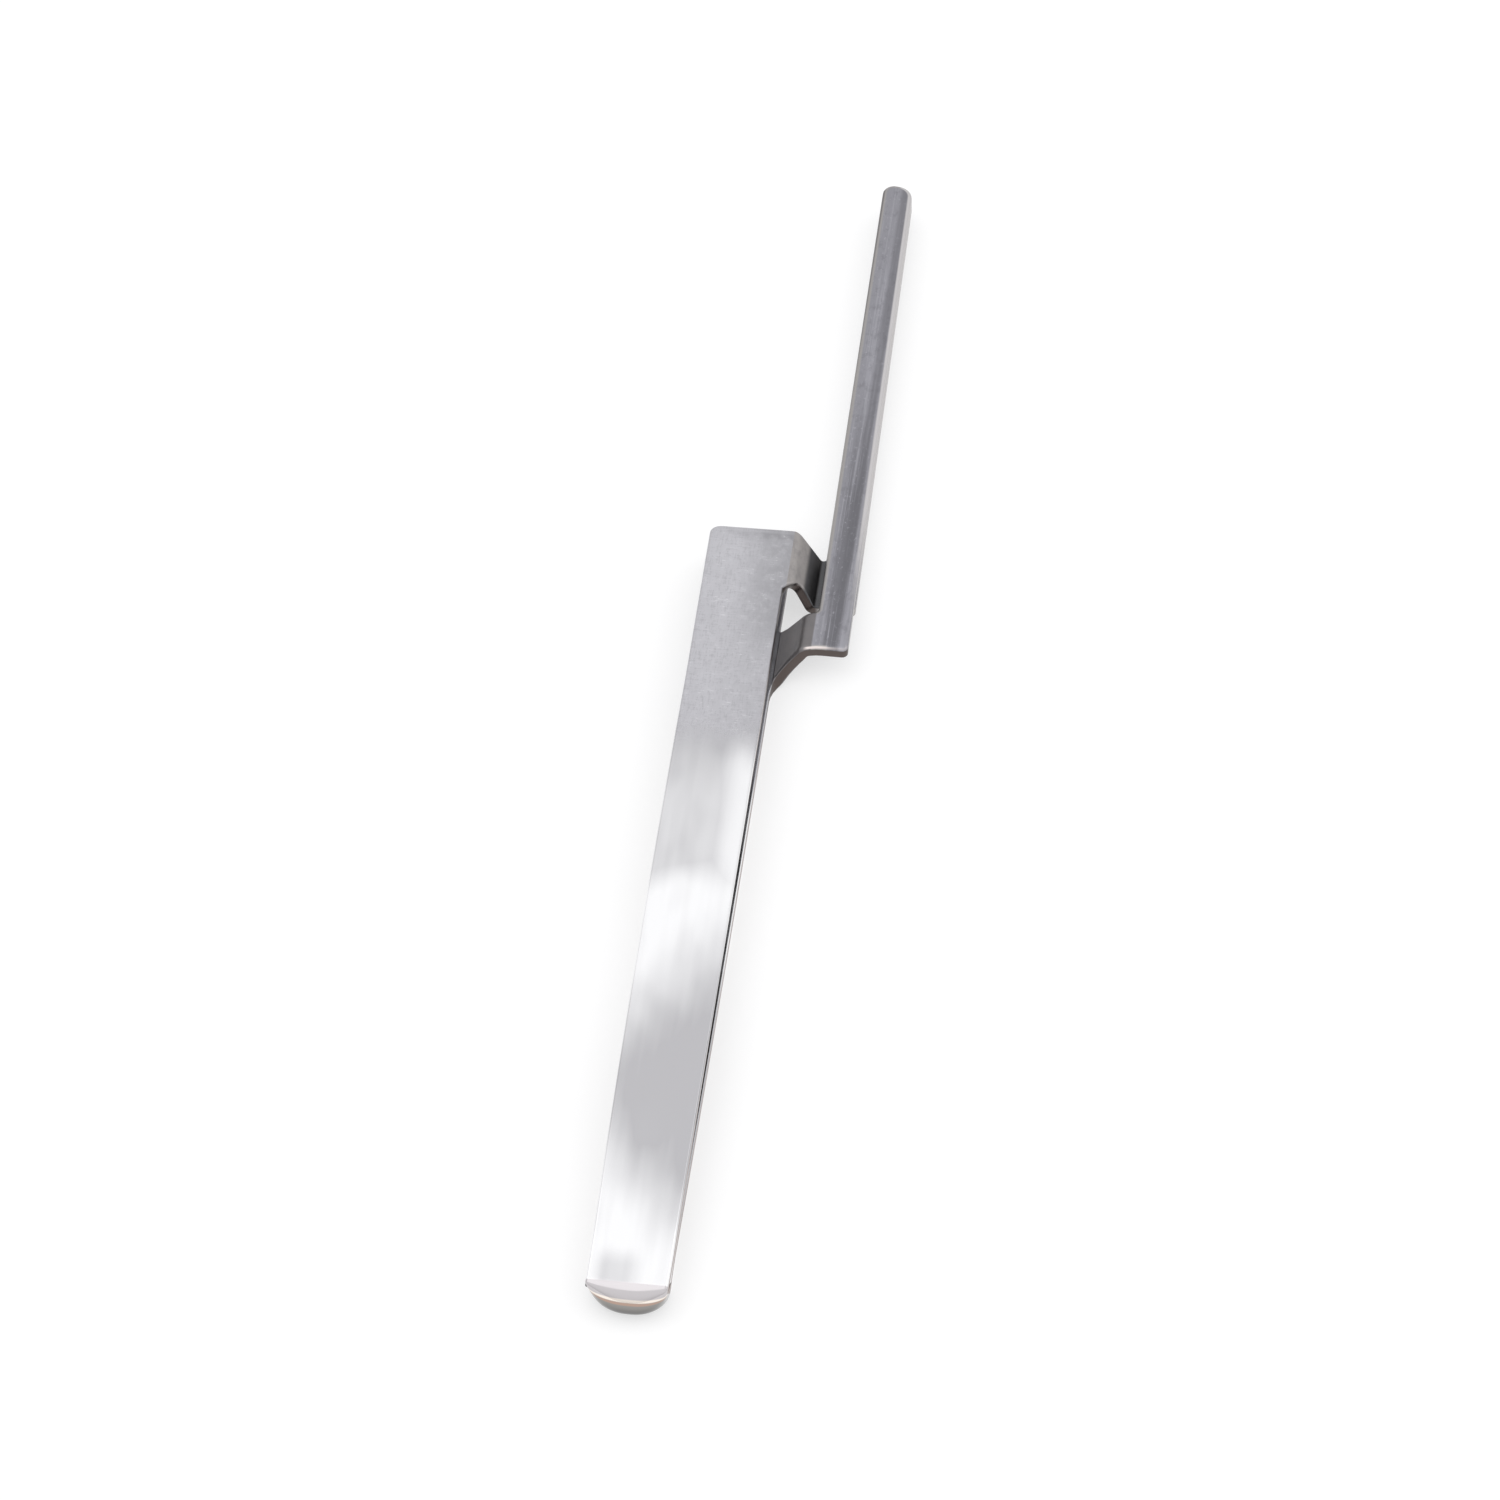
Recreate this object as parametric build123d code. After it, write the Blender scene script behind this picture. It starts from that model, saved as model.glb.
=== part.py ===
from build123d import *
import os
from math import cos, radians, sin, tan

# Cross-action forceps, closed, lying on the lower arm. Millimetres and degrees.
# While it is drawn, X runs across the handle from its left edge, Y runs from the rear fold to the
# jaw tips, and Z is up from the table. place() then moves the origin to the middle of the base.

# Driving dimensions: the whole tool
overall_length = 150.3
handle_length = 99.9
handle_width = 8.1
sheet = 1.2
front_depth = 5.2
fold_radius = 1.9

# The upper handle's gentle bow, and the handles' barrel shape
bow_rise_angle = 4.5
bow_fall_angle = 2.2
easing_radius = 140.0
barrel_swell = 0.1
barrel_front = 79.3
nose_corner = 1.2
rear_upper_corner = 0.6
rear_lower_corner = 3.7
rear_taper = 0.12

# The bent tabs that cross from one side to the other
crossing_angle = 46.0
bend_inner_radius = 0.35

# The lower tab and upper jaw in plan: distances back from the handles' front edge
lower_tab_front = 9.3
lower_tab_slant = 0.9
lower_tab_rear = 15.9
upper_jaw_rear = 14.3
sweep_radius = 4.5
sweep_inset = 0.12

# The upper tab and lower jaw in plan: distances back from the handles' front edge
upper_tab_front = 1.4
notch_front = 6.2
notch_offset = 1.2
upper_tab_rear = 7.8

# The jaws in plan, and the gap that lets in a sheet of paper
jaw_left_root = 11.85
jaw_left_tip = 11.5
jaw_right_root = 15.35
jaw_right_tip = 14.5
jaw_gap = 0.05
tip_left_corner = 1.6
tip_right_corner = 1.1
heel_corner = 0.6
inner_corner = 0.5

# Worked out from the driving dimensions
mid_fold_radius = fold_radius - sheet / 2
bend_radius = bend_inner_radius + sheet / 2
bend_rise = bend_radius * (1 - cos(radians(crossing_angle)))
bend_reach = bend_radius * sin(radians(crossing_angle))
slope_rise = (front_depth + jaw_gap) / 2 - 2 * bend_rise
slope_length = slope_rise / sin(radians(crossing_angle))
landing = handle_width + 2 * bend_reach + slope_rise / tan(radians(crossing_angle))
beyond = 1.0


def from_front(distance):
    """The Y place that lies this far behind the handles' front edge."""
    return handle_length - distance


def extrude_along_x(profile, start, end):
    """A solid between two X places from a face drawn in Y and Z."""
    return extrude(Plane.YZ.offset(start) * profile, amount=end - start)


def extrude_along_y(profile, start, end):
    """A solid between two Y places from a face drawn in X and Z."""
    return extrude(Plane.XZ.offset(-start) * profile, amount=start - end)


def extrude_up(outline):
    """A prism from below the table to above the tool, from a face drawn in X and Y."""
    return extrude(Plane.XY.offset(-beyond) * outline, amount=2 * front_depth)


def side_curves():
    """The middle line of the strip seen from the side: rear fold, bowed upper arm, level front."""
    fold = JernArc((fold_radius, sheet / 2), (-1, 0), mid_fold_radius, bow_rise_angle - 180)
    bow_height = front_depth - sheet / 2 - (fold @ 1).Y + easing_radius * (1 - cos(radians(bow_fall_angle)))
    bow_radius = bow_height / (cos(radians(bow_fall_angle)) - cos(radians(bow_rise_angle)))
    bow = JernArc(fold @ 1, fold % 1, bow_radius, -(bow_rise_angle + bow_fall_angle))
    easing = JernArc(bow @ 1, bow % 1, easing_radius, bow_fall_angle)
    level = Line(easing @ 1, (handle_length, (easing @ 1).Y))
    return fold, [bow, easing, level]


def handle_outline(rear_corner):
    """The handle in plan: barrel-shaped behind the tabs, rounded at the rear and at its nose corner."""
    middle = barrel_front / 2
    right = Line((handle_width, handle_length), (handle_width, barrel_front))
    right_barrel = ThreePointArc(
        right @ 1, (handle_width + barrel_swell, middle), (handle_width - rear_taper, 0)
    )
    rear = Line(right_barrel @ 1, (rear_taper, 0))
    left_barrel = ThreePointArc(rear @ 1, (-barrel_swell, middle), (0, barrel_front))
    left = Line(left_barrel @ 1, (0, handle_length))
    front = Line(left @ 1, right @ 0)
    outline = make_face(Curve() + [right, right_barrel, rear, left_barrel, left, front])
    outline = fillet(outline.vertices().group_by(Axis.Y)[0], rear_corner)
    return fillet(outline.vertices().sort_by_distance((0, handle_length))[0], nose_corner)


def handle_block():
    """A block as wide as the handle, whose rear corners are rounder towards the table."""
    below = Plane.XY * handle_outline(rear_lower_corner)
    above = Plane.XY.offset(2 * fold_radius) * handle_outline(rear_upper_corner)
    foot = extrude(below, amount=-beyond)
    head = extrude(above, amount=front_depth)
    return foot + loft([below, above]) + head


def rounded_face(corners):
    """A face from pairs of a corner and the radius that it is rounded to."""
    points = [point for point, _ in corners]
    radii = [radius for _, radius in corners]
    return make_face(FilletPolyline(points, radius=radii, close=True))


def upper_jaw_outline():
    """The lower tab and the upper jaw in plan, drawn on into the handle so that its corners fillet."""
    corners = [
        ((handle_width - beyond, from_front(lower_tab_front + lower_tab_slant)), 0),
        ((handle_width + notch_offset, from_front(lower_tab_front + lower_tab_slant)), inner_corner),
        ((jaw_left_root, from_front(lower_tab_front)), inner_corner),
        ((jaw_left_tip, overall_length), tip_left_corner),
        ((jaw_right_tip, overall_length), tip_right_corner),
        ((jaw_right_root, from_front(upper_jaw_rear)), heel_corner),
        ((jaw_left_root, from_front(upper_jaw_rear)), sweep_radius),
        ((handle_width - sweep_inset, from_front(lower_tab_rear)), sweep_radius),
        ((handle_width - sweep_inset, barrel_front), 0),
        ((handle_width - beyond, barrel_front), 0),
    ]
    return rounded_face(corners)


def lower_jaw_outline():
    """The upper tab and the lower jaw in plan, with the relief notch beside the handle."""
    notch_crest = handle_width + notch_offset
    corners = [
        ((handle_width - beyond, from_front(0)), 0),
        ((handle_width + bend_inner_radius, from_front(0)), inner_corner),
        ((landing - bend_reach, from_front(upper_tab_front)), inner_corner),
        ((jaw_left_root, from_front(upper_tab_front)), inner_corner),
        ((jaw_left_tip, overall_length), tip_left_corner),
        ((jaw_right_tip, overall_length), tip_right_corner),
        ((jaw_right_root, from_front(upper_tab_rear)), heel_corner),
        ((landing - bend_reach, from_front(upper_tab_rear)), inner_corner),
        ((notch_crest, from_front(notch_front)), inner_corner),
        ((handle_width, from_front(upper_tab_rear)), 0),
        ((handle_width - beyond, from_front(upper_tab_rear)), 0),
    ]
    return rounded_face(corners)


def crossing_section(start_height, way):
    """The bent strip across the tool in X and Z, from the handle's edge to beyond the jaws.

    way is 1 for the lower arm's tab, which climbs, and -1 for the upper arm's, which drops.
    """
    first_bend = JernArc((handle_width, start_height), (1, 0), bend_radius, way * crossing_angle)
    slope = Line(first_bend @ 1, first_bend @ 1 + (first_bend % 1) * slope_length)
    second_bend = JernArc(slope @ 1, slope % 1, bend_radius, -way * crossing_angle)
    level = Line(second_bend @ 1, (jaw_right_root + beyond, (second_bend @ 1).Y))
    return trace(Curve() + [first_bend, slope, second_bend, level], line_width=sheet)


def tab_and_jaw(outline, start_height, way):
    """The tab and the jaw that one arm carries, cut apart where the tab's second bend lands."""
    section = crossing_section(start_height, way)
    formed = extrude_along_y(section, barrel_front - beyond, overall_length + beyond)
    flat_pattern = extrude_up(outline)
    whole = formed & flat_pattern
    cut = Plane.YZ.offset(landing)
    return split(whole, bisect_by=cut, keep=Keep.BOTTOM), split(whole, bisect_by=cut, keep=Keep.TOP)


def cut_to_handle(side_curve):
    """A stretch of the wide strip: its middle line seen from the side, cut to the handle's block."""
    strip = extrude_along_x(trace(side_curve, line_width=sheet), -beyond, handle_width + beyond)
    return strip & handle_block()


def build_nodes():
    """Every stretch of the folded strip as a solid of its own, by name."""
    fold, upper_line = side_curves()
    lower_line = Line((fold_radius, sheet / 2), (handle_length, sheet / 2))
    lower_tab, upper_jaw = tab_and_jaw(upper_jaw_outline(), sheet / 2, 1)
    upper_tab, lower_jaw = tab_and_jaw(lower_jaw_outline(), front_depth - sheet / 2, -1)
    return {
        "rear_spring_fold": cut_to_handle(fold),
        "lower_handle": cut_to_handle(lower_line),
        "lower_crossing_tab": lower_tab,
        "upper_jaw": upper_jaw,
        "upper_handle": cut_to_handle(Curve() + upper_line),
        "upper_crossing_tab": upper_tab,
        "lower_jaw": lower_jaw,
    }


def place(solid):
    """Move a solid so that the origin is at the middle of the whole tool's base."""
    low_x = -barrel_swell
    middle_x = (low_x + jaw_right_root) / 2
    return Pos(-middle_x, -overall_length / 2, 0) * solid


def main():
    os.makedirs("parts", exist_ok=True)
    for name, solid in build_nodes().items():
        placed = place(solid)
        print(name, round(placed.volume, 2), placed.bounding_box())
        export_step(placed, f"parts/{name}.step")


main()
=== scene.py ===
"""Cross-action paper forceps: one steel strip, folded at the rear, with two tabs that cross over."""

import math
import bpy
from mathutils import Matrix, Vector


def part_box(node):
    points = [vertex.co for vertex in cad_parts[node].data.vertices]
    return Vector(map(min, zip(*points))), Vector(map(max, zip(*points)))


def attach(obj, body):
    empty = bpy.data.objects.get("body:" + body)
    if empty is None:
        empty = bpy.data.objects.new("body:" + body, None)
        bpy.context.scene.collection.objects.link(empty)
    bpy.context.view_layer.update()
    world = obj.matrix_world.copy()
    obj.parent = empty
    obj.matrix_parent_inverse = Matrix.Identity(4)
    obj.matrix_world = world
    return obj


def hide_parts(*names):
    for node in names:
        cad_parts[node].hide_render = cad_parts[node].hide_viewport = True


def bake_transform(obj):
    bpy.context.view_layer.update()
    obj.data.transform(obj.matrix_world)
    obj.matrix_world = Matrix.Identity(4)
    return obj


bl_info = {
    "name": "Cross-Action Paper Forceps",
    "version": (1, 0, 0),
    "blender": (4, 5, 0),
    "location": "3D View > Sidebar > Forceps",
    "description": "Forms a pair of self-closing steel forceps from one flat strip",
    "category": "Add Mesh",
}

import bmesh
import bpy
from bpy.props import FloatProperty, FloatVectorProperty, IntProperty, PointerProperty
from mathutils import Matrix, Vector

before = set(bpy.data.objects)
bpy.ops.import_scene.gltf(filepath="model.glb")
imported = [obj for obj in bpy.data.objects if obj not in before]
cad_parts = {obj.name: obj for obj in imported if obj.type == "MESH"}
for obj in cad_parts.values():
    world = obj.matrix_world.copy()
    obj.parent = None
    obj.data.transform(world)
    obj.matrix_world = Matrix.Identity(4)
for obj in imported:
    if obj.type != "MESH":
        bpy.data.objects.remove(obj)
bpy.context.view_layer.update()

MM = 0.001

# What the fixed frame says: boxes of the strip's stretches
HANDLE_LOW, HANDLE_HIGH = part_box("lower_handle")
FOLD_LOW, FOLD_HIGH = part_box("rear_spring_fold")
LOWER_TAB_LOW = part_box("lower_crossing_tab")[0]
UPPER_TAB_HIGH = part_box("upper_crossing_tab")[1]
UPPER_JAW_LOW, UPPER_JAW_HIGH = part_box("upper_jaw")
LOWER_JAW_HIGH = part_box("lower_jaw")[1]

HANDLE_MIDDLE = (HANDLE_LOW.x + HANDLE_HIGH.x) / 2
RIGHT_EDGE = LOWER_TAB_LOW.x
LEFT_EDGE = 2 * HANDLE_MIDDLE - RIGHT_EDGE
REAR_END = FOLD_LOW.y
FRONT_END = HANDLE_HIGH.y
JAW_TIPS = UPPER_JAW_HIGH.y


def lengths(**entries):
    """Sizes in metres, from (description, default), that the sidebar shows in its own unit."""
    return labelled(FloatProperty, entries, min=0.0, unit="LENGTH", precision=5)


def angles(**entries):
    """Angles, kept in radians and given in degrees."""
    radians = {name: (text, math.radians(value)) for name, (text, value) in entries.items()}
    return labelled(FloatProperty, radians, unit="ROTATION")


def linear_colours(**entries):
    """Linear colours."""
    return labelled(FloatVectorProperty, entries, size=3, subtype="COLOR", min=0, max=1)


def labelled(kind, entries, **settings):
    """Properties of one kind, each with a label made from its own name."""
    return {
        name: kind(
            name=name.replace("_", " ").title(), description=text, default=value, **settings
        )
        for name, (text, value) in entries.items()
    }


class StripSizes(bpy.types.PropertyGroup):
    """The strip, its rear fold and the bow of its upper arm."""

    __annotations__ = angles(
        bow_rise=("Slope at which the upper arm leaves the fold", 4.5),
        bow_fall=("Slope at which the bow comes down to the nose", 2.2),
    ) | lengths(
        sheet=("Thickness of the strip", HANDLE_HIGH.z),
        fold_radius=("Outer radius of the rear fold", FOLD_HIGH.y - REAR_END),
        front_depth=("Height of the nose's upper face", UPPER_TAB_HIGH.z),
        easing_radius=("Radius that levels the nose", 140 * MM),
        barrel_swell=("How far each long side bulges", 0.1 * MM),
        barrel_front=("Where the bulge ends, from the rear", 79.3 * MM),
        rear_taper=("How far each side draws in at the rear", 0.12 * MM),
        lower_draw=("Extra taper of the lower arm's right side", 0.22 * MM),
        rear_left_corner=("Roundness of the fold on the left", 4.0 * MM),
        rear_right_corner=("Roundness on the right", 3.3 * MM),
        fold_reach=("Straight strip that the fold piece keeps", 6.5 * MM),
    )


class TabSizes(bpy.types.PropertyGroup):
    """The two bent tabs and the notch, in plan. Distances run back from the nose."""

    __annotations__ = angles(
        bend_angle=("Slope of the tabs where they cross", 46),
    ) | lengths(
        bend_radius=("Radius of the bends' middle line", 0.95 * MM),
        nose_corner=("Corner radius of the nose", 1.2 * MM),
        lower_front=("Front of the lower tab", 9.3 * MM),
        lower_slant=("How far that front slants back", 0.9 * MM),
        lower_rear=("Rear of the lower tab", 15.9 * MM),
        sweep_radius=("Radius that sweeps the lower tab in", 4.5 * MM),
        upper_front=("Front of the upper tab", 1.4 * MM),
        upper_rear=("Rear of the upper tab", 7.8 * MM),
        notch_front=("Top of the relief notch", 6.2 * MM),
        notch_offset=("How far out the notch's top is", 1.2 * MM),
        inner_corner=("Small corner radius of the tabs", 0.5 * MM),
    )


class JawSizes(bpy.types.PropertyGroup):
    """The jaws in plan. Offsets run across from the handle's left edge."""

    __annotations__ = lengths(
        gap=("Space between the closed jaws", UPPER_JAW_LOW.z - LOWER_JAW_HIGH.z),
        left_root=("Left side at the tabs", 11.85 * MM),
        left_tip=("Left side at the tip", 11.5 * MM),
        right_root=("Right side at the tabs", 15.35 * MM),
        right_tip=("Right side at the tip", 14.5 * MM),
        upper_heel=("Rear of the upper jaw, from the nose", 14.3 * MM),
        left_corner=("Left corner radius of the tip", 1.15 * MM),
        right_corner=("Right corner radius of the tip", 1.6 * MM),
        tip_slant=("How far the tip falls back on its right", 0.35 * MM),
        heel_corner=("Corner radius of the heel", 0.6 * MM),
    )


class EdgeSizes(bpy.types.PropertyGroup):
    """How far the cut edges are eased: inwards over a face, and down the wall."""

    __annotations__ = lengths(
        handle=("Outer edges of the handle", 0.28 * MM),
        inner=("Edges that face the other arm", 0.12 * MM),
        nose_in=("Outer edge of the nose, inwards", 0.75 * MM),
        nose_down=("Outer edge of the nose, down the wall", 0.5 * MM),
        jaw_in=("Outer edges of the jaws, inwards", 0.5 * MM),
        jaw_down=("Outer edges of the jaws, down the wall", 0.3 * MM),
    )
    __annotations__["steps"] = IntProperty(
        name="Steps", description="Faces round each easing", default=6, min=2
    )


class FinishColours(bpy.types.PropertyGroup):
    """Colours of the steel, of the light and shade painted on it, and of the stage."""

    __annotations__ = linear_colours(
        # The brightest painted reflection of the handle, also used for painted glints on the nose's
        # scratches
        polished=("Brightest polish of the handle", (0.94, 0.94, 0.945)),
        haze=("Grey bloom in the polish", (0.5, 0.495, 0.51)),
        satin=("Satin steel of the nose", (0.51, 0.505, 0.53)),
        brushed=("Steel of the jaws", (0.19, 0.188, 0.205)),
        # Painted light on the jaws' eased edges, dim on the left and a bright highlight on the right
        jaw_left_edge=("Eased left edges", (0.36, 0.345, 0.335)),
        jaw_right_edge=("Eased right edges", (0.6, 0.58, 0.58)),
        # Painted highlight along the heel's eased edge
        jaw_line=("Bright line along the heel", (0.78, 0.7, 0.67)),
        jaw_wall=("Cut walls of the jaws", (0.42, 0.4, 0.39)),
        # Painted reflection and painted shade on the upper tab's face
        tab_light=("Upper part of the upper tab", (0.35, 0.33, 0.32)),
        tab_dark=("Lower part of the upper tab", (0.085, 0.085, 0.088)),
        tab_dull=("Face of the lower tab", (0.19, 0.18, 0.18)),
        handle_wall=("Cut walls of the handle", (0.4, 0.34, 0.32)),
        # Painted shade on the cut walls at the tabs, at the heel and towards the nose
        cut_edge=("Cut walls of the strip", (0.115, 0.095, 0.088)),
        # Round the rear fold, painted light and shade: reflection, highlight line, shade on turn and
        # underside
        fold_high=("Bloom on the fold", (0.57, 0.545, 0.555)),
        fold_line=("Bright line on the fold", (0.92, 0.84, 0.76)),
        # Painted reflection: a brownish band under the highlight line
        fold_warm=("Heat tint on the fold", (0.46, 0.33, 0.27)),
        fold_mid=("Turn of the fold", (0.31, 0.3, 0.285)),
        fold_low=("Underside of the fold", (0.17, 0.165, 0.16)),
        floor=("The floor", (0.42, 0.42, 0.42)),
    )


SETTINGS = {
    "forceps_strip": StripSizes,
    "forceps_tabs": TabSizes,
    "forceps_jaws": JawSizes,
    "forceps_edges": EdgeSizes,
    "forceps_colours": FinishColours,
}


# Layout of the flat strip -------------------------------------------------------------------


class Layout:
    """Lengths that follow from the sizes. The flat strip lies at the lower arm's height.

    The lower arm keeps its place. The upper arm lies behind it, beyond the rear fold, and its
    upper face looks down until the fold is made.
    """

    def __init__(self, scene):
        strip = scene.forceps_strip
        tabs = scene.forceps_tabs
        jaws = scene.forceps_jaws
        self.sheet = strip.sheet
        self.middle = strip.sheet / 2
        self.fold_line = REAR_END + strip.fold_radius
        self.fold_radius = strip.fold_radius - self.middle
        self.fold_angle = math.pi - strip.bow_rise
        self.fold_length = self.fold_radius * self.fold_angle

        fold_rise = self.fold_radius * (1 - math.cos(self.fold_angle))
        easing_drop = strip.easing_radius * (1 - math.cos(strip.bow_fall))
        bow_height = strip.front_depth - strip.sheet - fold_rise + easing_drop
        bow_cosines = math.cos(strip.bow_fall) - math.cos(strip.bow_rise)
        self.bow_radius = bow_height / bow_cosines
        self.bow_angle = strip.bow_rise + strip.bow_fall
        self.bow_length = self.bow_radius * self.bow_angle
        self.easing_length = strip.easing_radius * strip.bow_fall

        bow_sines = math.sin(strip.bow_rise) + math.sin(strip.bow_fall)
        bow_end = self.fold_line - self.fold_radius * math.sin(self.fold_angle)
        bow_end += self.bow_radius * bow_sines
        easing_end = bow_end + strip.easing_radius * math.sin(strip.bow_fall)
        level_length = FRONT_END - easing_end
        self.easing_start = self.fold_length + self.bow_length
        self.level_start = self.easing_start + self.easing_length
        self.upper_length = self.level_start + level_length

        half_crossing = (strip.front_depth + jaws.gap) / 2
        self.bend_reach = tabs.bend_radius * math.sin(tabs.bend_angle)
        self.bend_length = tabs.bend_radius * tabs.bend_angle
        slope_rise = half_crossing - 2 * tabs.bend_radius * (1 - math.cos(tabs.bend_angle))
        self.slope_run = slope_rise / math.tan(tabs.bend_angle)
        self.slope_length = slope_rise / math.sin(tabs.bend_angle)
        self.tab_split = RIGHT_EDGE + 2 * strip.barrel_swell

    def unrolled(self, x, tabs):
        """The flat strip's X for a point that ends at X once the tab is bent."""
        out = x - RIGHT_EDGE
        if out <= 0:
            return x
        if out < self.bend_reach:
            return RIGHT_EDGE + tabs.bend_radius * math.asin(out / tabs.bend_radius)
        out -= self.bend_reach
        if out < self.slope_run:
            return RIGHT_EDGE + self.bend_length + out / math.cos(tabs.bend_angle)
        out -= self.slope_run
        flat = RIGHT_EDGE + self.bend_length + self.slope_length
        if out < self.bend_reach:
            left = math.asin(math.sin(tabs.bend_angle) - out / tabs.bend_radius)
            return flat + tabs.bend_radius * (tabs.bend_angle - left)
        return flat + self.bend_length + out - self.bend_reach

    def behind_fold(self, y):
        """The flat strip's Y for a point of the upper arm, y counted as if it were all level."""
        return self.fold_line - (self.upper_length + y - FRONT_END)

    def upper_level(self, flat_y):
        """The opposite of behind_fold."""
        return FRONT_END - self.upper_length + self.fold_line - flat_y


def handle_side(scene, y, side, draw=0.0):
    """Where one long side of the handle is at y: side is -1 on the left and 1 on the right."""
    strip = scene.forceps_strip
    edge = RIGHT_EDGE if side > 0 else LEFT_EDGE
    share = (y - REAR_END) / strip.barrel_front
    if share >= 1:
        return edge
    bulge = 4 * share * (1 - share) * strip.barrel_swell
    taper = (1 - share) * (1 - 2 * share) * strip.rear_taper
    return edge + side * (bulge - taper - draw * (1 - share))


def rounded_line(corners, step=math.radians(9)):
    """A run of straight lines with arcs at its corners, from (x, y, radius) corners."""
    points = [Vector(corners[0][:2])]
    for before, corner, after in zip(corners, corners[1:], corners[2:]):
        here = Vector(corner[:2])
        back = (Vector(before[:2]) - here).normalized()
        ahead = (Vector(after[:2]) - here).normalized()
        turn = math.pi - back.angle(ahead)
        if corner[2] == 0 or turn < step / 4:
            points.append(here)
            continue
        reach = corner[2] * math.tan(turn / 2)
        centre = here + (back + ahead).normalized() * (corner[2] / math.cos(turn / 2))
        spoke = here + back * reach - centre
        way = 1 if spoke.cross(back) < 0 else -1
        count = max(2, math.ceil(turn / step))
        for i in range(count + 1):
            points.append(centre + Matrix.Rotation(way * turn * i / count, 2) @ spoke)
    points.append(Vector(corners[-1][:2]))
    return points


def divided(points, spacing, low_x, high_x):
    """The same run with its long lines cut up between two X places."""
    result = [points[0]]
    for a, b in zip(points, points[1:]):
        middle_x = (a.x + b.x) / 2
        count = 1
        if low_x < middle_x < high_x:
            count = max(1, math.ceil((b - a).length / spacing))
        result += [a.lerp(b, i / count) for i in range(1, count + 1)]
    return result


def evenly(start, end, count):
    """Both ends and the places that divide the way between them into equal parts."""
    return [start + (end - start) * i / count for i in range(count + 1)]


def side_points(scene, start, end, side, draw=0.0, spacing=3 * MM):
    """Corners along one long side of the handle, from start to end."""
    count = max(2, math.ceil(abs(end - start) / spacing))
    return [(handle_side(scene, y, side, draw), y, 0) for y in evenly(start, end, count)]


def jaw_corners(scene, rear, heel_x):
    """The jaw from its left root round the tip to its heel."""
    jaws = scene.forceps_jaws
    return [
        (LEFT_EDGE + jaws.left_tip, JAW_TIPS, jaws.left_corner),
        (LEFT_EDGE + jaws.right_tip, JAW_TIPS - jaws.tip_slant, jaws.right_corner),
        (LEFT_EDGE + jaws.right_root, rear, jaws.heel_corner),
        (heel_x, rear, 0),
    ]


def lower_arm_outline(scene, seam):
    """The lower arm in plan, from the rear seam's left end to its right end."""
    tabs = scene.forceps_tabs
    jaws = scene.forceps_jaws
    draw = scene.forceps_strip.lower_draw
    barrel_front = REAR_END + scene.forceps_strip.barrel_front
    tab_front = FRONT_END - tabs.lower_front
    slant = tab_front - tabs.lower_slant
    root = LEFT_EDGE + jaws.left_root
    rear = FRONT_END - tabs.lower_rear
    heel = FRONT_END - jaws.upper_heel
    corners = side_points(scene, seam, barrel_front, -1)
    corners += [
        (LEFT_EDGE, FRONT_END, tabs.nose_corner),
        (RIGHT_EDGE, FRONT_END, tabs.inner_corner),
        (RIGHT_EDGE, slant, tabs.inner_corner / 2),
        (RIGHT_EDGE + tabs.notch_offset, slant, tabs.inner_corner),
        (root, tab_front, tabs.inner_corner),
    ]
    corners += jaw_corners(scene, heel, root)[:-1]
    corners += [(root, heel, tabs.sweep_radius), (RIGHT_EDGE, rear, tabs.sweep_radius)]
    corners += side_points(scene, barrel_front, seam, 1, draw)
    return rounded_line(corners)


def upper_arm_outline(scene, layout, seam):
    """The upper arm in plan, counted as if it were all level."""
    tabs = scene.forceps_tabs
    jaws = scene.forceps_jaws
    barrel_front = REAR_END + scene.forceps_strip.barrel_front
    tab_front = FRONT_END - tabs.upper_front
    tab_rear = FRONT_END - tabs.upper_rear
    crossing = RIGHT_EDGE + layout.bend_reach + layout.slope_run
    root = LEFT_EDGE + jaws.left_root
    corners = side_points(scene, seam, barrel_front, -1)
    corners += [
        (LEFT_EDGE, FRONT_END, tabs.nose_corner),
        (RIGHT_EDGE + tabs.bend_radius / 3, FRONT_END, tabs.inner_corner),
        (crossing, tab_front, tabs.inner_corner),
        (root, tab_front, tabs.inner_corner),
    ]
    corners += jaw_corners(scene, tab_rear, crossing)[:-1]
    corners += [
        (crossing, tab_rear, tabs.inner_corner),
        (RIGHT_EDGE + tabs.notch_offset, FRONT_END - tabs.notch_front, tabs.inner_corner),
        (RIGHT_EDGE, tab_rear, tabs.inner_corner / 2),
    ]
    corners += side_points(scene, barrel_front, seam, 1)
    return rounded_line(corners)


# The blank: a flat plate with eased edges ---------------------------------------------------


ALONG_X = (1, 0, 0)
ALONG_Y = (0, 1, 0)
CUT_TOLERANCE = 1e-8
WELD_DISTANCE = 2e-8
SUPPORT = 0.05 * MM
SHARPEST_MITRE = 0.4
HARD_ANGLE = math.radians(38)


def smooth_share(value, low, high):
    """0 below low, 1 above high, and a smooth step between."""
    share = min(1, max(0, (value - low) / (high - low)))
    return share * share * (3 - 2 * share)


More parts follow.
